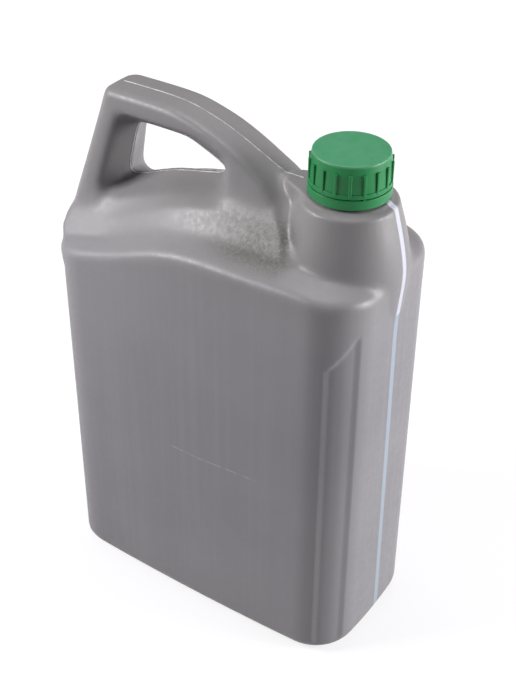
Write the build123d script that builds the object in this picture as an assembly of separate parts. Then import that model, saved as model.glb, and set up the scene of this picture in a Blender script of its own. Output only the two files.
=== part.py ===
from build123d import *
import os
import math

# Body, in millimetres. Origin under the middle of the base, +X towards the cap end, -Y the front.
length = 210.0
depth = 104.5
wall = 1.8
corner_r = 28.5
front_bow = 1.57
end_bow = 0.74
base_r = 12.0
pushup_depth = 2.5
pushup_margin = 22.0

# Crease between the walls and the shoulder: at the grip end, as (distance from that end, drop below its
# highest level), and at the cap end, as (distance from that end, drop)
body_height = 259.0
crease_at_grip = [(-45, 48.5), (0, 35), (25, 27.3), (50, 19), (72, 10), (94, 3.2), (117, 0.4)]
crease_at_cap = [(65, 0), (43, 0), (27, 0.7), (13, 3.7), (0, 9.2), (-15, 16)]
crease_r = 6.5
shoulder_slope = 0.38
shoulder_half = 36.0
shoulder_bend_r = 30.0
flank_slope = 1.2
flank_end_r = 8.0

# Handle above the shoulder. Its top line has points over the grip, as (distance from the grip end, drop below
# the top), and points before the cap, as (distance from the cap's axis, drop, further drop at the side)
handle_rise = 62.4
ridge_side_y = 18.0
ridge_over_grip = [(-5, 0.2, 0.4), (23, 0.1, 0.4), (43, -0.2, 0.4), (60, -0.2, 0.4), (75, 0.8, 0.5)]
ridge_before_cap = [
    (87, 4.2, 0.8), (72, 9.3, 1.2), (60, 14.6, 2.1), (50, 19.3, 4.0), (40.4, 23.6, 6.6), (34, 26.4, 8.8),
    (28, 29.1, 9.3), (22, 32.4, 9.5), (17, 40.4, 9.5), (12, 59.4, 9.5)]
handle_top_half = 14.6
handle_draft = 0.126
grip_lean_drop = 16.0
grip_lean = 0.3
grip_r = 8.0
handle_edge_r = 4.4
seam_height = 0.35
seam_half = 0.35
seam_from = 31.0
seam_to = 40.4

# Finger hole, outlined on the parting plane and at its rim. Lower corners are given as (distance from the grip
# end, height above the crease), upper ones as (distance from the grip end, drop below the top of the handle)
hole_mid_low = [(100.0, 26.2), (64.0, 17.4), (26.0, 2.0)]
hole_mid_high = [(37.7, 20.1), (73.0, 20.1), (101.0, 32.0)]
hole_mid_r = [1.4, 60.0, 5.0, 5.0, 30.0, 1.4]
hole_rim_low = [(108.2, 22.6), (71.8, 14.0), (22.2, -4.2)]
hole_rim_high = [(36.4, 13.0), (88.0, 13.0), (108.4, 19.6)]
hole_rim_r = [10.0, 60.0, 5.0, 6.5, 40.0, 4.0]
rim_r = 5.0
rim_steps = [0, 30, 60, 80]
web_height = 1.6
web_half = 0.9

# Dome and neck, about the axis of the cap, with the outline as (radius, drop below the ledge)
cap_inset = 33.0
dome_rise = 37.0
dome_line = [(33.0, 66), (33.9, 56), (34.5, 46), (34.5, 39), (33.8, 32), (32.3, 23.5), (29.0, 10.5)]
dome_edge_r = 26.4
dome_edge_drop = 1.0
dome_top_r = 24.5
nose_reach = 28.5
nose_r = 9.3
nose_wide_r = 22.0
nose_depth = 36.0
nose_lift = 1.6
neck_r = 17.3
neck_bore_r = 15.0
bead_r = 18.9
bead_lift = 5.4
bead_height = 1.3

# Closure
ring_lift = 3.3
ring_height = 5.2
ring_r = 22.1
ring_bore_r = 19.5
ring_lip_r = 17.9
ring_lip_height = 1.6
bridge_count = 6
bridge_first_angle = 20.0
bridge_width = 1.4
ring_gap = 0.7
bridge_gap = 0.3
cap_height = 17.7
cap_top_r = 20.3
cap_low_r = 21.4
cap_shoulder_drop = 4.5
cap_shoulder_r = 20.9
cap_rim_r = 1.0
cap_wall = 1.6
cap_bore_r = 19.3
collar_r = 21.9
collar_height = 2.4
rib_count = 18
rib_r = 22.1
rib_width = 1.7
wad_thickness = 1.2
wad_r = 18.8

# Sunk panel on each rounded corner, as angles from the end face towards the long face
recess_depth = 1.0
recess_from = 25.0
recess_to = 58.0
recess_step = 1.2
recess_side_drop = 40.0
recess_end_drop = 21.0

# Filling
fill_z = 234.0
fill_gap = 0.15

# Heights and places that follow from the values above
grip_end_x = -length / 2
cap_x = length / 2 - cap_inset
handle_top_z = body_height + handle_rise
grip_lean_z = body_height - grip_lean_drop
dome_top_z = body_height + dome_rise
ring_z = dome_top_z + ring_lift
cap_low_z = ring_z + ring_height + ring_gap
cap_top_z = cap_low_z + cap_height
over = 60.0
tall = handle_top_z + over


def bow_radius(chord, height):
    return (chord / 2) ** 2 / (2 * height) + height / 2


def plan(inset):
    """Outline seen from above: four slightly bowed sides with rounded corners."""
    side_r = bow_radius(length - 2 * corner_r, front_bow)
    end_r = bow_radius(depth - 2 * corner_r, end_bow)
    front = Pos(0, side_r - depth / 2) * Circle(side_r - inset)
    back = Pos(0, depth / 2 - side_r) * Circle(side_r - inset)
    cap_end = Pos(length / 2 - end_r, 0) * Circle(end_r - inset)
    grip_end = Pos(end_r - length / 2, 0) * Circle(end_r - inset)
    outline = front & back & cap_end & grip_end
    return fillet(outline.vertices(), corner_r - inset)


def walls(inset):
    """Upright walls with the rounded lower edge."""
    prism = extrude(plan(inset), tall - inset)
    low_edges = prism.faces().sort_by(Axis.Z)[0].edges()
    return Pos(0, 0, inset) * fillet(low_edges, base_r - inset)


def upper_edges(solid, low_z, kind):
    """Edges above a height that lie on a face of the given kind, without those of the parting plane."""
    found = []
    for face in solid.faces().filter_by(kind):
        for edge in face.edges():
            box = edge.bounding_box()
            on_parting = abs(box.min.Y) < 0.01 and abs(box.max.Y) < 0.01
            known = any(edge.is_same(other) for other in found)
            if box.min.Z > low_z and not on_parting and not known:
                found.append(edge)
    return found


def slab(from_y, to_y, slope, lift):
    """Region under the crease line, carried from one depth to another at a slope."""
    line = [(grip_end_x + x, body_height - drop) for x, drop in crease_at_grip]
    line += [(length / 2 - x, body_height - drop) for x, drop in crease_at_cap]
    top = Edge.make_spline([Vector(x, z) for x, z in line])
    first, last = line[0], line[-1]
    rest = Polyline(last, (last[0], -over), (first[0], -over), first)
    face = Pos(0, -from_y, lift) * (Plane.XZ * make_face([top, *rest.edges()]))
    return extrude(face, (from_y - to_y) * math.hypot(1, slope), dir=(0, 1, slope))


def shoulder(inset):
    """Region under the shoulder, level in the middle."""
    drop = inset * math.hypot(1, shoulder_slope)
    start = depth / 2 + 10
    rise = shoulder_slope * (depth / 2 - shoulder_half)
    side = slab(start, shoulder_half, shoulder_slope, -shoulder_slope * 10 - drop)
    middle = slab(shoulder_half, -shoulder_half, 0, rise - drop)
    solid = middle + side + mirror(side, about=Plane.XZ)
    bends = []
    for edge in solid.edges().filter_by(GeomType.BSPLINE):
        box = edge.bounding_box()
        if box.max.Y - box.min.Y < 0.01 and abs(abs(box.max.Y) - shoulder_half) < 0.01:
            bends.append(edge)
    return fillet(bends, shoulder_bend_r - inset)


def flank(inset):
    """Region under the steeper slopes that rise to the handle."""
    drop = inset * math.hypot(1, flank_slope)
    low = shoulder_slope * (depth / 2 - shoulder_half) - drop
    inner = handle_top_half
    side = slab(shoulder_half, inner, flank_slope, low)
    middle = slab(inner, -inner, 0, low + flank_slope * (shoulder_half - inner))
    return middle + side + mirror(side, about=Plane.XZ)


def ridge_face(y, lower):
    """Region under the top line of the handle, as cut at one depth."""
    line = [(grip_end_x + x, drop, more) for x, drop, more in ridge_over_grip]
    line += [(cap_x - x, drop, more) for x, drop, more in ridge_before_cap]
    points = [Vector(x, handle_top_z - drop - more * y / ridge_side_y - lower) for x, drop, more in line]
    span = points[-1].X - points[0].X
    knots = [(point.X - points[0].X) / span for point in points]
    top = Edge.make_spline(points, parameters=knots)
    first, last = points[0], points[-1]
    low = body_height - 2 * over
    rest = Polyline((last.X, last.Y), (last.X, low), (first.X, low), (first.X, first.Y))
    return Pos(0, -y, 0) * (Plane.XZ * make_face([top, *rest.edges()]))


def under_ridge(inset):
    lower = inset * math.hypot(1, ridge_before_cap[4][2] / ridge_side_y)
    half = loft([ridge_face(0, lower), ridge_face(shoulder_half + 2, lower)], ruled=True)
    return half + mirror(half, about=Plane.XZ)


def grip_lean_region(inset):
    """Everything on the inner side of the handle's leaning end."""
    foot = grip_end_x + inset * math.hypot(1, grip_lean)
    rise = handle_rise + over
    corners = [
        (foot - rise * grip_lean, grip_lean_z - rise), (foot + rise * grip_lean, grip_lean_z + rise),
        (length, grip_lean_z + rise), (length, grip_lean_z - rise)]
    return extrude(Plane.XZ * make_face(Polyline(*corners, close=True)), over, both=True)


def face_half(z):
    """Half thickness of the handle at a height."""
    return handle_top_half + (handle_top_z - z) * handle_draft


def column_plan(z, inset):
    """The handle block cut level: its end leans, its sides are drafted, its corners are round."""
    left = grip_end_x + (z - grip_lean_z) * grip_lean + inset * math.hypot(1, grip_lean)
    half = face_half(z) - inset * math.hypot(1, handle_draft)
    right = cap_x + over
    centre = Pos((left + right) / 2, 0, z)
    return centre * RectangleRounded(right - left, 2 * half, grip_r - inset)


def column(inset):
    low_z = body_height - over
    return loft([column_plan(low_z, inset), column_plan(handle_top_z + handle_edge_r, inset)], ruled=True)


def handle_block(inset):
    """The block under the ridge line. Its upper edges are rounded outside and sharp in the cavity."""
    block = column(inset) & under_ridge(inset)
    if inset:
        return block
    upper = []
    for edge in block.edges().filter_by(GeomType.BSPLINE):
        box = edge.bounding_box()
        on_parting = abs(box.min.Y) < 0.01 and abs(box.max.Y) < 0.01
        if box.max.Z > handle_top_z - handle_edge_r and box.min.Z > body_height - over and not on_parting:
            upper.append(edge)
    return fillet(upper, handle_edge_r)


def flank_slopes(inset):
    """The slopes on both sides of the handle, with a round corner where they meet its leaning end."""
    solid = flank(inset) & under_ridge(inset) & grip_lean_region(inset)
    leaning = [face for face in solid.faces().filter_by(GeomType.PLANE) if -0.99 < face.normal_at().X < -0.5]
    corner = []
    for edge in leaning[0].edges():
        box = edge.bounding_box()
        slanted = box.max.Y - box.min.Y > 1 and box.max.Z - box.min.Z > 1
        if slanted:
            corner.append(edge)
    return fillet(corner, flank_end_r - inset)


def handle(inset):
    return (handle_block(inset) + flank_slopes(inset)) & extrude(plan(inset), tall)


def nose(inset):
    """Upright wedge with a round tip that joins the dome to the ridge of the handle."""
    tip = Pos(cap_x - nose_reach, 0) * Circle(nose_r - inset)
    wide = Pos(cap_x, 0) * Circle(nose_wide_r - inset)
    top_z = dome_top_z + nose_lift - inset
    return Pos(0, 0, top_z - nose_depth) * extrude(make_hull([*tip.edges(), *wide.edges()]), nose_depth)


def dome(inset):
    """Turned form under the neck, with the nose that reaches the ridge of the handle."""
    points = [(r - inset, dome_top_z - drop) for r, drop in dome_line]
    curve = Spline(*points)
    top_z = dome_top_z - inset
    rest = Polyline(
        points[-1], (dome_edge_r - inset, top_z - dome_edge_drop), (dome_top_r - inset, top_z), (0, top_z),
        (0, points[0][1]), points[0])
    turned = revolve(Plane.XZ * make_face([*curve.edges(), *rest.edges()]), Axis.Z)
    return Pos(cap_x, 0, 0) * turned + nose(inset)


def outline(low, high, radii, grow):
    """Hole's outline in the side view, grown outwards, with its own rounding at each corner."""
    points = [(grip_end_x + x, rise) for x, rise in low]
    points += [(grip_end_x + x, handle_rise - drop) for x, drop in high]
    polygon = make_face(Polyline(*points, close=True))
    if grow:
        polygon = offset(polygon, grow, kind=Kind.INTERSECTION)
    for point, r in zip(points, radii):
        corner = polygon.vertices().sort_by_distance(Vector(point[0], point[1]))[0]
        polygon = fillet(corner, r + grow)
    return polygon


def rim_outline(depth, grow):
    """Outline of the hole on a plane that lies at a depth under the drafted face of the handle."""
    origin = (0, depth - face_half(body_height), body_height)
    face_plane = Plane(origin=origin, x_dir=(1, 0, 0), z_dir=(0, -1, handle_draft))
    return face_plane * outline(hole_rim_low, hole_rim_high, hole_rim_r, grow)


def hole(grow):
    """The finger hole: narrowest on the parting plane, flaring to a round rim on both faces."""
    round_r = rim_r - grow
    sections = [Pos(0, 0, body_height) * (Plane.XZ * outline(hole_mid_low, hole_mid_high, hole_mid_r, grow))]
    for step in rim_steps:
        angle = math.radians(step)
        sections.append(rim_outline(rim_r - round_r * math.sin(angle), rim_r - round_r * math.cos(angle)))
    last = math.radians(rim_steps[-1])
    out = round_r * (1 - math.sin(last)) + rim_r
    sections.append(rim_outline(-rim_r, rim_r - round_r * math.cos(last) + out * math.tan(last) / 4))
    half = loft(sections, ruled=True)
    return half + mirror(half, about=Plane.XZ)


def web():
    """Thin web of flash round the inside of the hole, on the parting line."""
    inner = offset(outline(hole_mid_low, hole_mid_high, hole_mid_r, 0), -web_height)
    band = outline(hole_mid_low, hole_mid_high, hole_mid_r, wall / 2) - inner
    return extrude(Pos(0, 0, body_height) * (Plane.XZ * band), web_half, both=True)


def top_seam():
    """Thin raised parting line along the top of the handle."""
    x_from = grip_end_x + seam_from
    x_to = cap_x - seam_to
    stretch = Pos(x_from, 0, body_height) * Box(
        x_to - x_from, 2 * seam_half, tall, align=(Align.MIN, Align.CENTER, Align.MIN))
    line = extrude(ridge_face(0, -seam_height), seam_half, both=True)
    return line & stretch & (line - extrude(ridge_face(0, wall / 2), seam_half, both=True))


def corner_recess():
    """Shallow sunk panel on one rounded corner, with slanting sides and a slanted top."""
    centre_x = length / 2 - corner_r - end_bow
    centre_y = depth / 2 - corner_r - front_bow
    reach = 2 * corner_r
    a = math.radians(recess_from)
    b = math.radians(recess_to)
    low_r = corner_r - recess_depth
    out_r = low_r + 3 * recess_depth
    out_a = a - 3 * recess_step / corner_r
    out_b = b + 3 * recess_step / corner_r
    sector = make_face(Polyline(
        (low_r * math.cos(a), low_r * math.sin(a)), (out_r * math.cos(out_a), out_r * math.sin(out_a)),
        (reach, 0), (reach, reach), (0, reach), (out_r * math.cos(out_b), out_r * math.sin(out_b)),
        (low_r * math.cos(b), low_r * math.sin(b)), (0, 0), close=True))
    band = (Circle(reach) - Circle(low_r)) & sector
    panel = extrude(Pos(centre_x, centre_y) * band, body_height)
    end_z = body_height - recess_end_drop
    slant = (recess_side_drop - recess_end_drop) / (corner_r * (math.sin(b) - math.sin(a)))
    start_y = centre_y + corner_r * math.sin(a)
    under = make_face(Polyline(
        (start_y - reach, end_z + reach * slant), (start_y + reach, end_z - reach * slant),
        (start_y + reach, 0), (start_y - reach, 0), close=True))
    return panel & extrude(Plane.YZ * under, length)


def shell_form(inset):
    """Solid form of the jug without its neck, shrunk by the inset."""
    body = walls(inset) & shoulder(inset)
    crease = [edge for edge in upper_edges(body, body_height - over, GeomType.CYLINDER) if edge.geom_type == GeomType.BSPLINE]
    body = fillet(crease, crease_r - inset)
    form = body + handle(inset) + dome(inset)
    return form - hole(inset)


def pushup(inset):
    """Raised middle of the base."""
    low = plan(pushup_margin - inset)
    high = Pos(0, 0, pushup_depth + inset) * plan(pushup_margin + pushup_depth)
    return loft([low, high], ruled=True)


def neck():
    rim_z = cap_top_z - cap_wall - wad_thickness
    low_z = dome_top_z - 2 * wall
    tube = Pos(cap_x, 0, low_z) * Cylinder(neck_r, rim_z - low_z, align=(Align.CENTER, Align.CENTER, Align.MIN))
    bead = Pos(cap_x, 0, dome_top_z + bead_lift) * Cylinder(bead_r, bead_height, align=(Align.CENTER, Align.CENTER, Align.MIN))
    return tube + chamfer(bead.edges().group_by(Axis.Z)[-1], 0.6)


def bottle():
    outer = shell_form(0) - pushup(0) + web() + top_seam() + neck()
    recess = corner_recess()
    for turn in (recess, mirror(recess, about=Plane.XZ)):
        outer = outer - turn - mirror(turn, about=Plane.YZ)
    inner = shell_form(wall) - pushup(wall)
    low_z = dome_top_z - 3 * wall
    bore = Pos(cap_x, 0, low_z) * Cylinder(neck_bore_r, over, align=(Align.CENTER, Align.CENTER, Align.MIN))
    return outer - inner - bore


def coolant():
    form = shell_form(wall + fill_gap) - pushup(wall + fill_gap)
    below = Pos(0, 0, fill_z) * Box(2 * length, 2 * depth, tall, align=(Align.CENTER, Align.CENTER, Align.MAX))
    return form & below


def cap():
    low_z = cap_low_z
    shoulder_z = cap_top_z - cap_shoulder_drop
    section = Polyline(
        (cap_low_r, low_z), (cap_shoulder_r, shoulder_z), (cap_top_r, cap_top_z), (0, cap_top_z), (0, low_z),
        close=True)
    turned = revolve(Plane.XZ * make_face(section), Axis.Z)
    turned = fillet(turned.edges().group_by(Axis.Z)[-1], cap_rim_r)
    collar = Pos(0, 0, low_z) * Cylinder(collar_r, collar_height, align=(Align.CENTER, Align.CENTER, Align.MIN))
    collar = fillet(collar.edges().group_by(Axis.Z)[-1], 0.3)
    rib_low_z = low_z + 1.0
    rib = Pos(cap_shoulder_r, 0, rib_low_z) * Box(
        2 * (rib_r - cap_shoulder_r), rib_width, shoulder_z - rib_low_z,
        align=(Align.CENTER, Align.CENTER, Align.MIN))
    rib = fillet(rib.edges().filter_by(Axis.Z).group_by(Axis.X)[-1], 0.5)
    body = turned + collar + PolarLocations(0, rib_count) * rib
    bore = Pos(0, 0, low_z) * Cylinder(
        cap_bore_r, cap_top_z - cap_wall - low_z, align=(Align.CENTER, Align.CENTER, Align.MIN))
    return Pos(cap_x, 0, 0) * (body - bore)


def sealing_wad():
    disc = Cylinder(wad_r, wad_thickness, align=(Align.CENTER, Align.CENTER, Align.MAX))
    return Pos(cap_x, 0, cap_top_z - cap_wall) * disc


def tamper_ring():
    mid_r = (ring_r + ring_bore_r) / 2
    band = Cylinder(ring_r, ring_height, align=(Align.CENTER, Align.CENTER, Align.MIN))
    band = fillet(band.edges().group_by(Axis.Z)[-1], 0.4)
    bridge = Pos(mid_r + 0.3, 0, ring_height - 1) * Box(
        1.6, bridge_width, 1 + ring_gap - bridge_gap, align=(Align.CENTER, Align.CENTER, Align.MIN))
    band = band - Cylinder(ring_bore_r, 4 * ring_height)
    lip = Cylinder(ring_r - 0.5, ring_lip_height, align=(Align.CENTER, Align.CENTER, Align.MIN))
    lip = lip - Cylinder(ring_lip_r, 4 * ring_height)
    bridge = Rot(0, 0, bridge_first_angle) * bridge
    ring = band + lip + PolarLocations(0, bridge_count) * bridge
    return Pos(cap_x, 0, ring_z) * ring


if __name__ == "__main__":
    os.makedirs("parts", exist_ok=True)
    export_step(bottle(), "parts/bottle.step")
    export_step(coolant(), "parts/coolant.step")
    export_step(cap(), "parts/cap.step")
    export_step(sealing_wad(), "parts/sealing_wad.step")
    export_step(tamper_ring(), "parts/tamper_ring.step")
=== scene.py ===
# %% [markdown]
# # An antifreeze jug
# The jug is one blow-moulded bottle with a handle pinched through it, closed by a green screw cap.
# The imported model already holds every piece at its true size, so this script starts by loading it
# and then gives each piece the surface that its plastic has. All lengths are in metres.

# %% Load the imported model
import bpy
import bmesh
import math
import numpy as np
from mathutils import Matrix, Vector
from mathutils.bvhtree import BVHTree


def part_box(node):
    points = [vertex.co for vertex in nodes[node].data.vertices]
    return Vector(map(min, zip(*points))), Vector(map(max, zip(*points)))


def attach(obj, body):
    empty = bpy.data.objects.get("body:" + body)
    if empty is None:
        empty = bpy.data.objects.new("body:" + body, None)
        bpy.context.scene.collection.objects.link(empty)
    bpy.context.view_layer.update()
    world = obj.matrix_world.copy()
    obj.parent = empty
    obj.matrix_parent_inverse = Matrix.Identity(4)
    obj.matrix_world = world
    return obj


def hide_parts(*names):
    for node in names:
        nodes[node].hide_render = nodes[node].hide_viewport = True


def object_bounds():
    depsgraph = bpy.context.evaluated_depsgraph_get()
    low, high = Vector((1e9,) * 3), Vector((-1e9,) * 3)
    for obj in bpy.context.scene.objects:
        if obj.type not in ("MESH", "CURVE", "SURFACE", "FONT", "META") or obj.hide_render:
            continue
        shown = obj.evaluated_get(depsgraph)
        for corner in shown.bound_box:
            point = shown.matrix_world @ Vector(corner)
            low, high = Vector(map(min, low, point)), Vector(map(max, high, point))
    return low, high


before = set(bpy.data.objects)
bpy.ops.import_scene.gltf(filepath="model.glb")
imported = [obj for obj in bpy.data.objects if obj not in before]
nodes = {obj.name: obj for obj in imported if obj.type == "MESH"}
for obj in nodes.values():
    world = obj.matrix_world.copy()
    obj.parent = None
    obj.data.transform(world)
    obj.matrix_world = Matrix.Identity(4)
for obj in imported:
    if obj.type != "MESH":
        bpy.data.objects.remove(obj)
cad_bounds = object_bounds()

print("nodes:", sorted(nodes))
print("CAD box:", cad_bounds)

# %% [markdown]
# ## Camera
# A product photo is taken with a long lens from a little above, which keeps the sides nearly
# parallel. The lens, the place and the tilt below were solved from the jug's own outline, so the
# render can be laid over the photograph. A camera looks along its own -Z, which gives the matrix.

# %% Camera
lens_mm = 67.385
camera_place = Vector((0.362988, -0.511676, 0.62142))
turn = math.radians(34.179)
tilt = math.radians(35.635)
roll = math.radians(0.472)

level_right = Vector((math.cos(turn), math.sin(turn), 0))
level_ahead = Vector((-math.sin(turn), math.cos(turn), 0))
ahead = math.cos(tilt) * level_ahead - math.sin(tilt) * Vector((0, 0, 1))
over_head = math.sin(tilt) * level_ahead + math.cos(tilt) * Vector((0, 0, 1))
right = math.cos(roll) * level_right + math.sin(roll) * over_head
upward = -math.sin(roll) * level_right + math.cos(roll) * over_head

camera_data = bpy.data.cameras.new("camera")
camera_data.lens = lens_mm
camera_data.sensor_width = 36
camera_data.sensor_fit = "AUTO"
camera_data.clip_start = 0.01
camera = bpy.data.objects.new("camera", camera_data)
rotation = Matrix((right, upward, -ahead)).transposed()
camera.matrix_world = Matrix.Translation(camera_place) @ rotation.to_4x4()
bpy.context.scene.collection.objects.link(camera)
bpy.context.scene.camera = camera
print("camera at", tuple(round(v, 3) for v in camera_place))

# %% [markdown]
# ## Floor and light
# The jug stands on a seamless white sweep with a soft shadow under it. The floor is a dull paper,
# so that little light bounces from it to the jug, and it glows for camera and mirror rays alone.
# The glow grows with the distance from the jug, which leaves the shadow and whitens the rest. The
# lamps are large, because a satin plastic shows every lamp as a soft band along its rounded edges.

# %% Node helpers


def new_material(name):
    """An empty node material and its two lists."""
    material = bpy.data.materials.new(name)
    material.use_nodes = True
    tree = material.node_tree
    tree.nodes.clear()
    return material, tree.nodes, tree.links


def add(nodes_list, kind, **settings):
    """A node with its settings, placed to the right of the last one."""
    node = nodes_list.new(kind)
    node.location.x = 180 * len(nodes_list)
    for name, value in settings.items():
        setattr(node, name, value)
    return node


def feed(links, source, socket):
    """Joins a socket to another, or writes a plain value on it."""
    if hasattr(source, "is_output"):
        links.new(source, socket)
    else:
        socket.default_value = source


def math_node(nodes_list, links, operation, first, second=None):
    """One step of arithmetic on one or two values."""
    node = add(nodes_list, "ShaderNodeMath", operation=operation)
    feed(links, first, node.inputs[0])
    if second is not None:
        feed(links, second, node.inputs[1])
    return node.outputs[0]


def ramp(nodes_list, links, value, low, high, to_low=0.0, to_high=1.0, smooth=True):
    """Maps a value from one range to another, held at the ends."""
    node = add(nodes_list, "ShaderNodeMapRange", clamp=True)
    node.interpolation_type = "SMOOTHSTEP" if smooth else "LINEAR"
    for number, item in enumerate((value, low, high, to_low, to_high)):
        feed(links, item, node.inputs[number])
    return node.outputs[0]


def noise(nodes_list, links, place, scale, detail=2.0, roughness=0.5, stretch=None):
    """Noise in the jug's own coordinates, stretched where a grain has a direction."""
    if stretch:
        mapping = add(nodes_list, "ShaderNodeMapping")
        mapping.inputs["Scale"].default_value = stretch
        links.new(place, mapping.inputs["Vector"])
        place = mapping.outputs[0]
    node = add(nodes_list, "ShaderNodeTexNoise")
    node.inputs["Scale"].default_value = scale
    node.inputs["Detail"].default_value = detail
    node.inputs["Roughness"].default_value = roughness
    links.new(place, node.inputs["Vector"])
    return node.outputs["Fac"]


def product(nodes_list, links, *values):
    """All the values multiplied, from the first to the last."""
    total = values[0]
    for value in values[1:]:
        total = math_node(nodes_list, links, "MULTIPLY", total, value)
    return total


def mix_colour(nodes_list, links, share, first, second):
    node = add(nodes_list, "ShaderNodeMix", data_type="RGBA")
    feed(links, share, node.inputs["Factor"])
    feed(links, first, node.inputs["A"])
    feed(links, second, node.inputs["B"])
    return node.outputs["Result"]


print("helpers ready")

# %% Floor
floor_size = 30.0
floor_colour = (0.30, 0.285, 0.305, 1)
floor_glow = 0.76
glow_grows_from, glow_grows_to = 0.35, 1.5
bpy.ops.mesh.primitive_plane_add(size=floor_size, location=(0, 0, cad_bounds[0][2]))
floor = bpy.context.object
floor.name = "floor"

floor_material, parts, links = new_material("floor_paper")
white = add(parts, "ShaderNodeBsdfDiffuse")
white.inputs["Color"].default_value = floor_colour
glow = add(parts, "ShaderNodeEmission")
glow.inputs["Color"].default_value = (1, 1, 1, 1)
paths = add(parts, "ShaderNodeLightPath")
seen = math_node(parts, links, "MAXIMUM", paths.outputs["Is Camera Ray"], paths.outputs["Is Glossy Ray"])
coordinates = add(parts, "ShaderNodeTexCoord")
far_off = add(parts, "ShaderNodeVectorMath", operation="LENGTH")
links.new(coordinates.outputs["Object"], far_off.inputs[0])
spread = ramp(parts, links, far_off.outputs["Value"], glow_grows_from, glow_grows_to, floor_glow, 1.0)
feed(links, product(parts, links, seen, spread), glow.inputs["Strength"])
both = add(parts, "ShaderNodeAddShader")
output = add(parts, "ShaderNodeOutputMaterial")
links.new(white.outputs[0], both.inputs[0])
links.new(glow.outputs[0], both.inputs[1])
links.new(both.outputs[0], output.inputs["Surface"])
floor.data.materials.append(floor_material)

# %% World
world_level = 0.09
bpy.context.scene.view_settings.view_transform = "Standard"
world = bpy.data.worlds.new("studio")
bpy.context.scene.world = world
world.use_nodes = True
parts, links = world.node_tree.nodes, world.node_tree.links
parts.clear()
backdrop = add(parts, "ShaderNodeBackground")
backdrop.inputs["Color"].default_value = (1, 1, 1, 1)
paths = add(parts, "ShaderNodeLightPath")
feed(links, ramp(parts, links, paths.outputs["Is Camera Ray"], 0, 1, world_level, 1.0),
     backdrop.inputs["Strength"])
output = add(parts, "ShaderNodeOutputWorld")
links.new(backdrop.outputs[0], output.inputs["Surface"])

# %% Lamps
middle = Vector((0, 0, 0.15))


def soft_lamp(name, place, width, watts):
    """A square softbox that faces the middle of the jug."""
    data = bpy.data.lights.new(name, "AREA")
    data.shape = "SQUARE"
    data.size = width
    data.energy = watts
    lamp = bpy.data.objects.new(name, data)
    lamp.location = place
    lamp.rotation_euler = (middle - Vector(place)).to_track_quat("-Z", "Y").to_euler()
    bpy.context.scene.collection.objects.link(lamp)


soft_lamp("front_softbox", (-0.78, -0.66, 0.86), 0.5, 14.6)
soft_lamp("right_softbox", (1.35, 0.62, 0.55), 0.8, 27.0)
soft_lamp("top_softbox", (-0.1, 0.15, 1.45), 0.6, 6.0)

# %% [markdown]
# ## The grey polyethylene
# Blow-moulded polyethylene is waxy: it has a broad soft highlight, a fine stipple from the blasted
# mould, and faint streaks along the way the tube was drawn. A stripe of clear resin runs down the
# end with the cap. Above the liquid it looks milky, and below it takes the colour of the coolant.
# All of this follows the jug's own coordinates, so it stays in place from every side.

# %% Stripe and level
stripe_half = 0.0021
stripe_blur = 0.0003
stripe_end_x = (0.085, 0.086)
stripe_foot_z = (0.004, 0.010)
stripe_path = [(0.0, 0.0038), (0.221, -0.0002), (0.245, 0.0008), (0.262, 0.0028), (0.300, 0.0032)]
liquid_level = 0.2342
level_blur = 0.0006
filled_colour = (0.345, 0.405, 0.480, 1)
empty_colour = (0.600, 0.610, 0.700, 1)


def stripe_mask(parts, links, x, y, z):
    """1 on the stripe down the end with the cap, 0 elsewhere."""
    middle_y = stripe_path[0][1]
    for (low_z, low_y), (high_z, high_y) in zip(stripe_path, stripe_path[1:]):
        step = ramp(parts, links, z, low_z, high_z, 0.0, high_y - low_y, smooth=False)
        middle_y = math_node(parts, links, "ADD", middle_y, step)
    off = math_node(parts, links, "ABSOLUTE", math_node(parts, links, "SUBTRACT", y, middle_y))
    inside = ramp(parts, links, off, stripe_half + stripe_blur, stripe_half - stripe_blur)
    at_end = ramp(parts, links, x, *stripe_end_x)
    above_foot = ramp(parts, links, z, *stripe_foot_z)
    return product(parts, links, inside, at_end, above_foot)


# %% Grey of the wall, with painted shade on the shoulder
grey_low = (0.235, 0.226, 0.244, 1)
grey_high = (0.265, 0.256, 0.272, 1)
streak_colour = (0.285, 0.275, 0.293, 1)
# The shoulder's darker warm grey is painted shade on the upward-facing shoulder.
shoulder_painted_shade_colour = (0.225, 0.213, 0.208, 1)
shoulder_z = (0.235, 0.275)

jug_plastic, parts, links = new_material("grey_polyethylene")
coordinates = add(parts, "ShaderNodeTexCoord")
place = coordinates.outputs["Object"]
split = add(parts, "ShaderNodeSeparateXYZ")
links.new(place, split.inputs[0])
x, y, z = split.outputs

cloud = noise(parts, links, place, 9.0, 3.0)
streaks = noise(parts, links, place, 260.0, 2.0, stretch=(1.0, 1.0, 0.02))
grey = mix_colour(parts, links, ramp(parts, links, cloud, 0.35, 0.65), grey_low, grey_high)
streak_share = ramp(parts, links, streaks, 0.4, 0.75, 0.0, 0.35)
grey = mix_colour(parts, links, streak_share, grey, streak_colour)
# Painted shade: the shoulder band is mixed towards the darker grey.
shoulder_painted_shade_share = product(parts, links, ramp(parts, links, z, *shoulder_z), 0.45)
grey = mix_colour(parts, links, shoulder_painted_shade_share, grey, shoulder_painted_shade_colour)
print("grey of the wall:", len(parts), "nodes")

# %% Painted shade on the flank beside the dome, speckled
# A dark speckled patch is painted on the flank beside the dome as painted shade.
flank_painted_shade_colour = (0.105, 0.096, 0.090, 1)
flank_shade_edges = [(x, -0.012, 0.034), (z, 0.2590, 0.2660), (z, 0.2900, 0.2740), (x, 0.064, 0.052)]
within = [ramp(parts, links, value, clear, full) for value, clear, full in flank_shade_edges]
speckle = noise(parts, links, place, 620.0, 3.0, 0.65)
speckled = ramp(parts, links, speckle, 0.30, 0.62, 0.50, 0.95)
grey = mix_colour(parts, links, product(parts, links, *within, speckled), grey, flank_painted_shade_colour)

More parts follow.
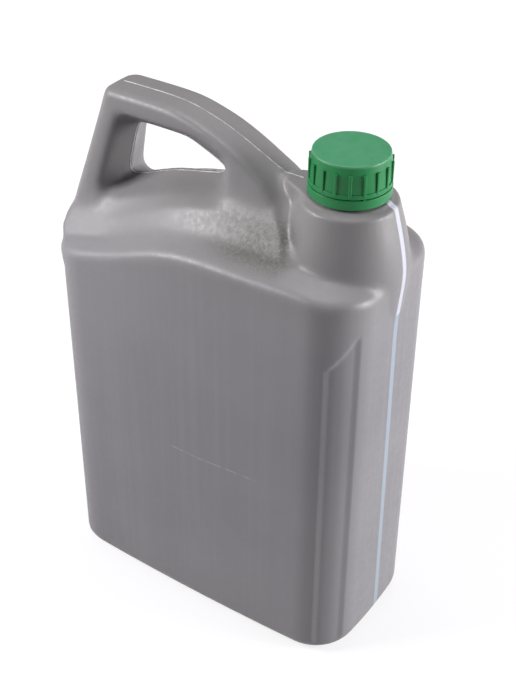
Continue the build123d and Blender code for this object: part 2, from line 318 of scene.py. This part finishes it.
# %% Scratch on the front face
scratch_colour = (0.47, 0.46, 0.48, 1)
scratch_path = [(-0.0101, 0.1232), (0.0088, 0.1230), (0.0274, 0.1242), (0.0508, 0.1252)]
scratch_edges = [(y, -0.040, -0.044), (x, -0.0115, -0.0100), (x, 0.0520, 0.0500)]
scratch_half = (0.00042, 0.00012)
scratch_z = scratch_path[0][1]
for (low_x, low_z), (high_x, high_z) in zip(scratch_path, scratch_path[1:]):
    step = ramp(parts, links, x, low_x, high_x, 0.0, high_z - low_z, smooth=False)
    scratch_z = math_node(parts, links, "ADD", step, scratch_z)
off_scratch = math_node(parts, links, "ABSOLUTE", math_node(parts, links, "SUBTRACT", z, scratch_z))
within = [ramp(parts, links, value, clear, full) for value, clear, full in scratch_edges]
broken = ramp(parts, links, noise(parts, links, place, 210.0, 2.0), 0.40, 0.56, 0.15, 0.75)
scratch = product(parts, links, ramp(parts, links, off_scratch, *scratch_half), *within, broken)
grey = mix_colour(parts, links, scratch, grey, scratch_colour)

# %% Stripe, stipple and gloss
level = ramp(parts, links, z, liquid_level - level_blur, liquid_level + level_blur)
stripe_colour = mix_colour(parts, links, level, filled_colour, empty_colour)
stripe = stripe_mask(parts, links, x, y, z)
body_colour = mix_colour(parts, links, stripe, grey, stripe_colour)

stipple = noise(parts, links, place, 1500.0, 2.0, 0.6)
mottle = noise(parts, links, place, 320.0, 2.0, 0.6)
bump = add(parts, "ShaderNodeBump")
bump.inputs["Strength"].default_value = 0.35
bump.inputs["Distance"].default_value = 0.00012
grain = math_node(parts, links, "ADD", stipple, product(parts, links, mottle, 0.6))
links.new(grain, bump.inputs["Height"])

shader = add(parts, "ShaderNodeBsdfPrincipled")
links.new(body_colour, shader.inputs["Base Color"])
links.new(ramp(parts, links, mottle, 0.3, 0.7, 0.40, 0.50), shader.inputs["Roughness"])
shader.inputs["Specular IOR Level"].default_value = 0.5
shader.inputs["IOR"].default_value = 1.52
links.new(bump.outputs[0], shader.inputs["Normal"])
output = add(parts, "ShaderNodeOutputMaterial")
links.new(shader.outputs[0], output.inputs["Surface"])
print("jug plastic:", len(parts), "nodes")

# %% [markdown]
# ## The green closure
# The cap is injection-moulded, so it is smoother and shinier than the jug. Its top is painted paler,
# which is a painted sheen, and along the low edge of the cap and the ring there are pale patches.

# %% Cap plastic
green_low = (0.007, 0.200, 0.052, 1)
green_high = (0.012, 0.235, 0.066, 1)
# The paler green of the top is a painted sheen.
top_painted_sheen_green = (0.085, 0.310, 0.165, 1)
pale_low_edge_green = (0.20, 0.50, 0.30, 1)
top_z = (0.3212, 0.3222)
low_edge_z = (0.3025, 0.2990)

cap_plastic, parts, links = new_material("green_polyethylene")
coordinates = add(parts, "ShaderNodeTexCoord")
place = coordinates.outputs["Object"]
split = add(parts, "ShaderNodeSeparateXYZ")
links.new(place, split.inputs[0])
z = split.outputs[2]
cloud = noise(parts, links, place, 60.0, 3.0)
green = mix_colour(parts, links, ramp(parts, links, cloud, 0.3, 0.7), green_low, green_high)
sheen_and_pale_patch_noise = noise(parts, links, place, 140.0, 4.0, 0.6)
# Painted sheen: the top of the cap is mixed towards the paler green.
top_painted_sheen_share = product(parts, links, ramp(parts, links, z, *top_z),
                 ramp(parts, links, sheen_and_pale_patch_noise, 0.25, 0.75, 0.72, 1.0))
green = mix_colour(parts, links, top_painted_sheen_share, green, top_painted_sheen_green)
# Pale patches from the noise along the low edge of the cap and the ring.
pale_low_edge_share = product(parts, links, ramp(parts, links, z, *low_edge_z),
                 ramp(parts, links, sheen_and_pale_patch_noise, 0.60, 0.72, 0.0, 0.55))
green = mix_colour(parts, links, pale_low_edge_share, green, pale_low_edge_green)
frost = noise(parts, links, place, 2600.0, 2.0)
bump = add(parts, "ShaderNodeBump")
bump.inputs["Strength"].default_value = 0.25
bump.inputs["Distance"].default_value = 0.00006
links.new(frost, bump.inputs["Height"])
shader = add(parts, "ShaderNodeBsdfPrincipled")
links.new(green, shader.inputs["Base Color"])
links.new(ramp(parts, links, cloud, 0.3, 0.7, 0.36, 0.44), shader.inputs["Roughness"])
shader.inputs["Specular IOR Level"].default_value = 0.4
links.new(bump.outputs[0], shader.inputs["Normal"])
output = add(parts, "ShaderNodeOutputMaterial")
links.new(shader.outputs[0], output.inputs["Surface"])

# %% Foam
foam_colour = (0.80, 0.80, 0.77, 1)
foam, parts, links = new_material("white_foam")
coordinates = add(parts, "ShaderNodeTexCoord")
cells = add(parts, "ShaderNodeTexVoronoi")
cells.inputs["Scale"].default_value = 2200
links.new(coordinates.outputs["Object"], cells.inputs["Vector"])
shader = add(parts, "ShaderNodeBsdfPrincipled")
shader.inputs["Base Color"].default_value = foam_colour
shader.inputs["Roughness"].default_value = 0.7
bump = add(parts, "ShaderNodeBump")
bump.inputs["Distance"].default_value = 0.0002
links.new(cells.outputs["Distance"], bump.inputs["Height"])
links.new(bump.outputs[0], shader.inputs["Normal"])
output = add(parts, "ShaderNodeOutputMaterial")
links.new(shader.outputs[0], output.inputs["Surface"])

# %% Coolant
coolant_deep = (0.04, 0.26, 0.55, 1)
coolant_pale = (0.08, 0.36, 0.66, 1)
liquid, parts, links = new_material("blue_coolant")
coordinates = add(parts, "ShaderNodeTexCoord")
ripple = noise(parts, links, coordinates.outputs["Object"], 30.0, 2.0)
shader = add(parts, "ShaderNodeBsdfPrincipled")
links.new(mix_colour(parts, links, ripple, coolant_deep, coolant_pale), shader.inputs["Base Color"])
shader.inputs["Roughness"].default_value = 0.08
shader.inputs["IOR"].default_value = 1.38
output = add(parts, "ShaderNodeOutputMaterial")
links.new(shader.outputs[0], output.inputs["Surface"])

# %% Dress the nodes
finishes = {
    "bottle": jug_plastic, "cap": cap_plastic, "tamper_ring": cap_plastic,
    "sealing_wad": foam, "coolant": liquid}
for name, material in finishes.items():
    mesh = nodes[name].data
    mesh.materials.clear()
    mesh.materials.append(material)
    print(name, len(mesh.polygons), "triangles")

# %% [markdown]
# ## One soft skin for the blow-moulded wall
# A blow-moulded jug has no sharp inner corner: the hot tube stretches over every ridge of the mould
# and bridges its hollows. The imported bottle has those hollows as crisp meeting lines. So a copy of
# its mesh is taken, closed, and remeshed into even small quads, which leaves the outside alone as
# one skin. Only where that skin is hollow is it then eased outwards, so the rounded edges stay.
# The neck and the inside wall are joined to it as packed. They are told from the outside by how
# much sky each face can see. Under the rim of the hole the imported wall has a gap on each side:
# fillings close it for the remesh, and afterwards its edges are sunk under the skin and filled.

# %% Outside and inside of the wall
cap_axis = Vector((0.072, 0.0, 0.0))
neck_foot_z = 0.2925
bead_radius = 0.01895
merge_distance = 1e-6
sky_count = 36
sky_share = 0.12
least_facing = 0.15
start_off = 2e-5
least_group = 200


def from_axis(point):
    """Distance from the axis of the cap."""
    return math.hypot(point.x - cap_axis.x, point.y - cap_axis.y)


def sky_directions(count):
    """Even directions over a sphere, along a spiral."""
    golden = math.pi * (3 - math.sqrt(5))
    found = []
    for number in range(count):
        height = 1 - 2 * (number + 0.5) / count
        around = math.sqrt(1 - height * height)
        turned = golden * number
        found.append(Vector((around * math.cos(turned), around * math.sin(turned), height)))
    return found


wall = bmesh.new()
wall.from_mesh(nodes["bottle"].data)
bmesh.ops.remove_doubles(wall, verts=wall.verts, dist=merge_distance)
wall.normal_update()
wall.faces.ensure_lookup_table()
tree_of_wall = BVHTree.FromBMesh(wall)
sky = sky_directions(sky_count)


def sees_sky(face):
    """True where enough of the directions in front of the face are free."""
    start = face.calc_center_median() + face.normal * start_off
    facing = [way for way in sky if way.dot(face.normal) > least_facing]
    free = sum(tree_of_wall.ray_cast(start, way)[0] is None for way in facing)
    return free > sky_share * len(facing)


def groups_of(faces):
    """The faces sorted into groups that hang together."""
    left = set(faces)
    found = []
    while left:
        waiting = [left.pop()]
        group = []
        while waiting:
            face = waiting.pop()
            group.append(face)
            for edge in face.edges:
                for other in edge.link_faces:
                    if other in left:
                        left.remove(other)
                        waiting.append(other)
        found.append(group)
    return found


def on_neck(piece):
    """True for a face or an edge of the neck, with all its points inside the bead."""
    return all(v.co.z > neck_foot_z and from_axis(v.co) < bead_radius for v in piece.verts)


outside = {f for f in wall.faces if not on_neck(f) and sees_sky(f)}
for group in groups_of([f for f in wall.faces if f not in outside]):
    if len(group) < least_group:
        outside.update(group)
print("outside faces:", len(outside), "of", len(wall.faces))

# %% Squeeze the plain walls
squeeze_low, squeeze_high, squeeze = 0.016, 0.205, 0.12


def squeezed(z):
    """The plain straight walls need few rows, so they are remeshed squeezed."""
    middle = np.clip(z, squeeze_low, squeeze_high) - squeeze_low
    return z - middle * (1 - squeeze)


def stretched(z):
    """The way back from squeezed."""
    middle = np.clip(z - squeeze_low, 0, (squeeze_high - squeeze_low) * squeeze)
    return z + middle * (1 / squeeze - 1)


def mesh_coordinates(mesh):
    """The mesh's points as an array with one row each."""
    flat = np.empty(len(mesh.vertices) * 3)
    mesh.vertices.foreach_get("co", flat)
    return flat.reshape(-1, 3)


# %% Filling under the rim of the hole
# Each row is a station along X with the outer and the inner edge of the rim there, as Y and Z.
rim_filling = [
    (-0.0560, (-0.0279, 0.2554), (-0.0193, 0.2636)), (-0.0500, (-0.0276, 0.2583), (-0.0191, 0.2659)),
    (-0.0410, (-0.0270, 0.2627), (-0.0187, 0.2691)), (-0.0290, (-0.0263, 0.2683), (-0.0183, 0.2729)),
    (-0.0150, (-0.0257, 0.2734), (-0.0178, 0.2763)), (0.0000, (-0.0253, 0.2766), (-0.0193, 0.2786)),
    (0.0090, (-0.0252, 0.2776), (-0.0225, 0.2796))]
filling_depth = 0.010
# Each row is a station along X with the ring of the filling behind the flank there, as Y and Z.
flank_filling = [
    (0.034, ((-0.0360, 0.2649), (-0.0251, 0.2779), (-0.0100, 0.2779),
             (-0.0100, 0.2620), (-0.0360, 0.2620))),
    (0.061, ((-0.0358, 0.2640), (-0.0305, 0.2708), (-0.0100, 0.2708),
             (-0.0100, 0.2620), (-0.0358, 0.2620)))]
plug_radius = 0.0162
plug_points = 32
plug_z = (0.292, 0.318)


def add_closed(b, rings):
    """A closed skin over rings of points, with a cap on each end."""
    loops = [[b.verts.new(point) for point in ring] for ring in rings]
    for here, there in zip(loops, loops[1:]):
        for number in range(len(here)):
            after = (number + 1) % len(here)
            b.faces.new([here[number], here[after], there[after], there[number]])
    b.faces.new(loops[0][::-1])
    b.faces.new(loops[-1])


shell = wall.copy()
for side in (1, -1):
    rings = []
    for station, (lip_y, lip_z), (rim_y, rim_z) in rim_filling:
        above = ((lip_y, lip_z), (rim_y, rim_z))
        below = ((rim_y, rim_z - filling_depth), (lip_y, lip_z - filling_depth))
        rings.append([(station, side * ring_y, ring_z) for ring_y, ring_z in above + below])
    add_closed(shell, rings)
    add_closed(shell, [[(station, side * ring_y, ring_z) for ring_y, ring_z in ring]
                       for station, ring in flank_filling])
plug_turns = [math.tau * number / plug_points for number in range(plug_points)]
add_closed(shell, [[(cap_axis.x + math.cos(turned) * plug_radius, math.sin(turned) * plug_radius, level_z)
                    for turned in plug_turns] for level_z in plug_z])
bmesh.ops.recalc_face_normals(shell, faces=shell.faces)

# %% Remesh the closed bottle
voxel = 0.00125
rough_mesh = bpy.data.meshes.new("rough_skin")
shell.to_mesh(rough_mesh)
shell.free()
points = mesh_coordinates(rough_mesh)
points[:, 2] = squeezed(points[:, 2])
rough_mesh.vertices.foreach_set("co", points.ravel())
rough = bpy.data.objects.new("rough_skin", rough_mesh)
bpy.context.scene.collection.objects.link(rough)
remesh = rough.modifiers.new("even_quads", "REMESH")
remesh.mode = "VOXEL"
remesh.voxel_size = voxel
remesh.adaptivity = 0
even = bpy.data.meshes.new_from_object(rough.evaluated_get(bpy.context.evaluated_depsgraph_get()))
bpy.data.objects.remove(rough)
print("even quads:", len(even.polygons))

# %% Points, edges and corners of the skin
points = mesh_coordinates(even)
points[:, 2] = stretched(points[:, 2])
pairs = np.empty(len(even.edges) * 2, dtype=np.int64)
even.edges.foreach_get("vertices", pairs)
pairs = pairs.reshape(-1, 2)
corners = np.empty(len(even.loops), dtype=np.int64)
even.loops.foreach_get("vertex_index", corners)
corners = corners.reshape(-1, 4)
count = np.bincount(pairs.ravel(), minlength=len(points)).astype(float)[:, None]


def towards_neighbours(points):
    """From each point to the middle of its neighbours."""
    total = np.empty_like(points)
    for axis in range(3):
        total[:, axis] = np.bincount(pairs[:, 0], points[pairs[:, 1], axis], len(points))
        total[:, axis] += np.bincount(pairs[:, 1], points[pairs[:, 0], axis], len(points))
    return total / count - points


def point_normals(points):
    """The mean normal of the quads round each point."""
    a, b, c, d = (points[corners[:, k]] for k in range(4))
    face = np.cross(c - a, d - b)
    total = np.zeros_like(points)
    for axis in range(3):
        for k in range(4):
            total[:, axis] += np.bincount(corners[:, k], face[:, axis], len(points))
    return total / np.maximum(np.linalg.norm(total, axis=1, keepdims=True), 1e-12)


def step_up(value, low, high):
    """0 below low, 1 above high and a smooth step between them."""
    share = np.clip((value - low) / (high - low), 0, 1)
    return share * share * (3 - 2 * share)


# %% Ease the hollows
hollow_steps = 90
steps_per_normal = 5
relax = 0.5
spread_out = 0.02
dome_share = 0.30

x, y, z = points.T
off_axis = np.hypot(x - cap_axis.x, y)
clear_of_neck = np.maximum(step_up(off_axis, 0.022, 0.028), step_up(-z, -0.288, -0.282))
above_panel = step_up(z, 0.240, 0.248)
round_dome = dome_share + (1 - dome_share) * step_up(off_axis, 0.040, 0.052)
hollow_share = (clear_of_neck * above_panel * round_dome)[:, None]
for number in range(hollow_steps):
    pull = towards_neighbours(points)
    if number % steps_per_normal == 0:
        normals = point_normals(points)
    outwards = np.sum(pull * normals, axis=1, keepdims=True)
    points += normals * np.maximum(outwards, 0) * relax * hollow_share + pull * spread_out * hollow_share
print("hollows eased over", hollow_steps, "steps")

# %% Round the rim of the hole
rim_steps = 12
rim_box = step_up(x, -0.100, -0.092) * step_up(-x, -0.030, -0.016)
rim_box = rim_box * step_up(z, 0.244, 0.252) * step_up(-z, -0.314, -0.306)
rim_share = (rim_box * step_up(np.abs(y), 0.009, 0.013))[:, None]
for number in range(rim_steps):
    points += towards_neighbours(points) * relax * rim_share
low_corner, high_corner = (np.array(v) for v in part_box("bottle"))
points = np.clip(points, low_corner, high_corner)
even.vertices.foreach_set("co", points.ravel())
tree_of_skin = BVHTree.FromPolygons([tuple(p) for p in points.tolist()], corners.tolist())

# %% Open the skin over the neck
skin_hole = 0.0186
kept = bmesh.new()
kept.from_mesh(even)
centres = {f: f.calc_center_median() for f in kept.faces}
over_neck = [f for f, centre in centres.items() if centre.z > neck_foot_z and from_axis(centre) < skin_hole]
bmesh.ops.delete(kept, geom=over_neck, context="FACES")
skin_rim = [e for e in kept.edges if len(e.link_faces) == 1]

# %% Add the neck and the inside wall
under_skin = 0.0017
inner = bmesh.new()
twin = {}
for face in wall.faces:
    if face in outside:
        continue
    for v in face.verts:
        if v not in twin:
            twin[v] = inner.verts.new(v.co)
    inner.faces.new([twin[v] for v in face.verts])
wall.free()
inner_mesh = bpy.data.meshes.new("inner_wall")
inner.to_mesh(inner_mesh)
inner.free()
kept.from_mesh(inner_mesh)
first_rim = set(skin_rim)
new_rims = [e for e in kept.edges if len(e.link_faces) == 1 and e not in first_rim]
neck_rim = [e for e in new_rims if on_neck(e)]
slit_rims = [e for e in new_rims if not on_neck(e)]
for v in {v for e in slit_rims for v in e.verts}:
    nearest, normal, _, _ = tree_of_skin.find_nearest(v.co)
    v.co = nearest - normal * under_skin
print("edges of the rims:", len(skin_rim), len(neck_rim), len(slit_rims))

# %% Join them into one piece
sharp_angle = 50
bmesh.ops.holes_fill(kept, edges=slit_rims, sides=0)
bmesh.ops.bridge_loops(kept, edges=skin_rim + neck_rim)
bmesh.ops.triangulate(kept, faces=[f for f in kept.faces if len(f.verts) > 4])
open_edges = sum(len(e.link_faces) != 2 for e in kept.edges)
skin_mesh = bpy.data.meshes.new("jug_skin")
kept.to_mesh(skin_mesh)
kept.free()
skin_mesh.validate()
skin_mesh.shade_smooth()
skin_mesh.set_sharp_from_angle(angle=math.radians(sharp_angle))
skin_mesh.materials.append(jug_plastic)
jug_skin = bpy.data.objects.new("jug_skin", skin_mesh)
bpy.context.scene.collection.objects.link(jug_skin)
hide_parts("bottle")
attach(jug_skin, "jug")
skin_triangles = sum(len(p.vertices) - 2 for p in skin_mesh.polygons)
print("jug skin:", skin_triangles, "triangles,", open_edges, "open edges")

# %% [markdown]
# ## The pinch-off lines
# Where the two halves of the mould close on the hot tube they leave a thin bead. It runs along the
# top of the handle and round the inside of its hole, and its pale colour is a painted highlight. A bead
# follows a path, so a small Geometry Nodes tree sweeps a circle along points that are found by casting rays
# at the skin.

# %% Sweep along a path
bead_sides = 8
bead_tree = bpy.data.node_groups.new("bead_along_a_path", "GeometryNodeTree")
sockets = bead_tree.interface
sockets.new_socket("Geometry", in_out="INPUT", socket_type="NodeSocketGeometry")
sockets.new_socket("Geometry", in_out="OUTPUT", socket_type="NodeSocketGeometry")
radius_input = sockets.new_socket("Bead radius", in_out="INPUT", socket_type="NodeSocketFloat")
finish_input = sockets.new_socket("Finish", in_out="INPUT", socket_type="NodeSocketMaterial")
tree_nodes, tree_links = bead_tree.nodes, bead_tree.links
group_in = add(tree_nodes, "NodeGroupInput")
to_curve = add(tree_nodes, "GeometryNodeMeshToCurve")
profile = add(tree_nodes, "GeometryNodeCurvePrimitiveCircle")
profile.inputs["Resolution"].default_value = bead_sides
sweep = add(tree_nodes, "GeometryNodeCurveToMesh")
sweep.inputs["Fill Caps"].default_value = True
realize = add(tree_nodes, "GeometryNodeRealizeInstances")
finish_node = add(tree_nodes, "GeometryNodeSetMaterial")
group_out = add(tree_nodes, "NodeGroupOutput")
tree_links.new(group_in.outputs["Geometry"], to_curve.inputs["Mesh"])
tree_links.new(group_in.outputs["Bead radius"], profile.inputs["Radius"])
tree_links.new(to_curve.outputs["Curve"], sweep.inputs["Curve"])
tree_links.new(profile.outputs["Curve"], sweep.inputs["Profile Curve"])
tree_links.new(sweep.outputs["Mesh"], realize.inputs["Geometry"])
tree_links.new(realize.outputs["Geometry"], finish_node.inputs["Geometry"])
tree_links.new(group_in.outputs["Finish"], finish_node.inputs["Material"])
tree_links.new(finish_node.outputs["Geometry"], group_out.inputs["Geometry"])


def bead_along(name, path, closed, radius, material, body="jug"):
    """A round bead along a path, as a plain mesh that rides with its body."""
    line = bpy.data.meshes.new(name + "_path")
    edges = [(k, k + 1) for k in range(len(path) - 1)]
    if closed:
        edges.append((len(path) - 1, 0))
    line.from_pydata(path, edges, [])
    source = bpy.data.objects.new(name + "_path", line)
    bpy.context.scene.collection.objects.link(source)
    modifier = source.modifiers.new("bead", "NODES")
    modifier.node_group = bead_tree
    modifier[radius_input.identifier] = radius
    modifier[finish_input.identifier] = material
    mesh = bpy.data.meshes.new_from_object(source.evaluated_get(bpy.context.evaluated_depsgraph_get()))
    bpy.data.objects.remove(source)
    mesh.shade_smooth()
    bead = bpy.data.objects.new(name, mesh)
    bpy.context.scene.collection.objects.link(bead)
    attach(bead, body)
    print(name, len(mesh.polygons), "faces")


# %% Pinched plastic, painted pale as a highlight
# The bead's pale grey is a painted highlight on the thin ridge.
pinch_painted_highlight_low = (0.34, 0.335, 0.345, 1)
pinch_painted_highlight_high = (0.62, 0.615, 0.62, 1)
pinched_painted_highlight, parts, links = new_material("pinched_polyethylene_painted_highlight")
coordinates = add(parts, "ShaderNodeTexCoord")
place = coordinates.outputs["Object"]
patchy = noise(parts, links, place, 120.0, 3.0)
shader = add(parts, "ShaderNodeBsdfPrincipled")
painted_highlight_colour = mix_colour(parts, links, ramp(parts, links, patchy, 0.35, 0.65), pinch_painted_highlight_low, pinch_painted_highlight_high)
links.new(painted_highlight_colour, shader.inputs["Base Color"])
shader.inputs["Roughness"].default_value = 0.42
output = add(parts, "ShaderNodeOutputMaterial")
links.new(shader.outputs[0], output.inputs["Surface"])

# %% Lines on the handle and in the hole
line_radius = 0.00042
line_sink = 0.00014
ridge_from_x = -0.076
ridge_step = 0.001
ridge_points = 121
over_the_jug = 0.4
ridge_path = []
for number in range(ridge_points):
    above = Vector((ridge_from_x + number * ridge_step, 0, over_the_jug))
    struck = tree_of_skin.ray_cast(above, Vector((0, 0, -1)))[0]
    ridge_path.append((struck.x, 0.0, struck.z - line_sink))
bead_along("handle_parting_line", ridge_path, False, line_radius, pinched_painted_highlight)

hole_middle = Vector((-0.045, 0, 0.288))
hole_line_points = 120
off_middle = 0.0011
for name, side_y in (("hole_line_front", -off_middle), ("hole_line_back", off_middle)):
    ring_path = []
    for number in range(hole_line_points):
        turned = math.tau * number / hole_line_points
        way = Vector((math.cos(turned), 0, math.sin(turned)))
        struck = tree_of_skin.ray_cast(hole_middle + Vector((0, side_y, 0)), way)[0]
        ring_path.append(tuple(struck + way * line_sink))
    bead_along(name, ring_path, True, line_radius, pinched_painted_highlight)

# %% [markdown]
# ## The threads
# The neck and the cap each carry a two-turn right-hand thread with a pitch of 4 mm, which is the lift
# that the cap makes in one turn. The cap's thread lies half a pitch from the neck's and just outside
# it, so the two stay clear as the cap turns and lifts. Each is the same bead, swept along a helix.

# %% Threads of the neck and the cap
pitch = 0.004
steps_per_turn = 40
thread_radius = 0.00085
neck_helix = {"radius": 0.0174, "low_z": 0.3075, "turns": 2.1}
cap_helix = {"radius": 0.0192, "low_z": 0.3095, "turns": 1.9}


def helix(radius, low_z, turns):
    """Points up a right-hand helix about the axis of the cap."""
    path = []
    for number in range(int(steps_per_turn * turns) + 1):
        angle = math.tau * number / steps_per_turn
        path.append((cap_axis.x + radius * math.cos(angle), radius * math.sin(angle),
                     low_z + pitch * number / steps_per_turn))
    return path


bead_along("neck_thread", helix(**neck_helix), False, thread_radius, jug_plastic)
bead_along("cap_thread", helix(**cap_helix), False, thread_radius, cap_plastic, "cap")
